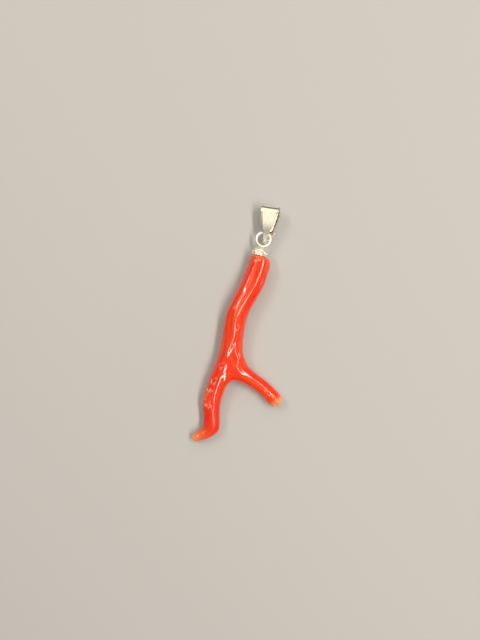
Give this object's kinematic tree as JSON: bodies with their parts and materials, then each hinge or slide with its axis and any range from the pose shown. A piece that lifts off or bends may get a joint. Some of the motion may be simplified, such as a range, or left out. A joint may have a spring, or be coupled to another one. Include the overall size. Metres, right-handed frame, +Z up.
{
  "type": "coral branch pendant",
  "caption": "Polished forked branch of red coral in a silver cap with a soldered ring and a tapered folded bail, worn on a chain that runs through the bail.",
  "frame": {"origin": "middle of the pendant's outline on the surface that it lies on", "axes": "+Z up from the surface, out of the pendant's front; +Y along the pendant towards the bail; +X to the right, the side that the side arm points to"},
  "size_m": [0.0192, 0.0609, 0.0051],
  "materials": {
    "coral": "polished red coral, waxy gloss, paler at the tips",
    "cap_silver": "polished silver with raised grains",
    "bail_silver": "polished silver sheet with bevelled edges"
  },
  "bodies": {
    "root": {"coral_branch": "coral", "cap_with_ring": "cap_silver", "bail": "bail_silver"}
  },
  "joints": []
}
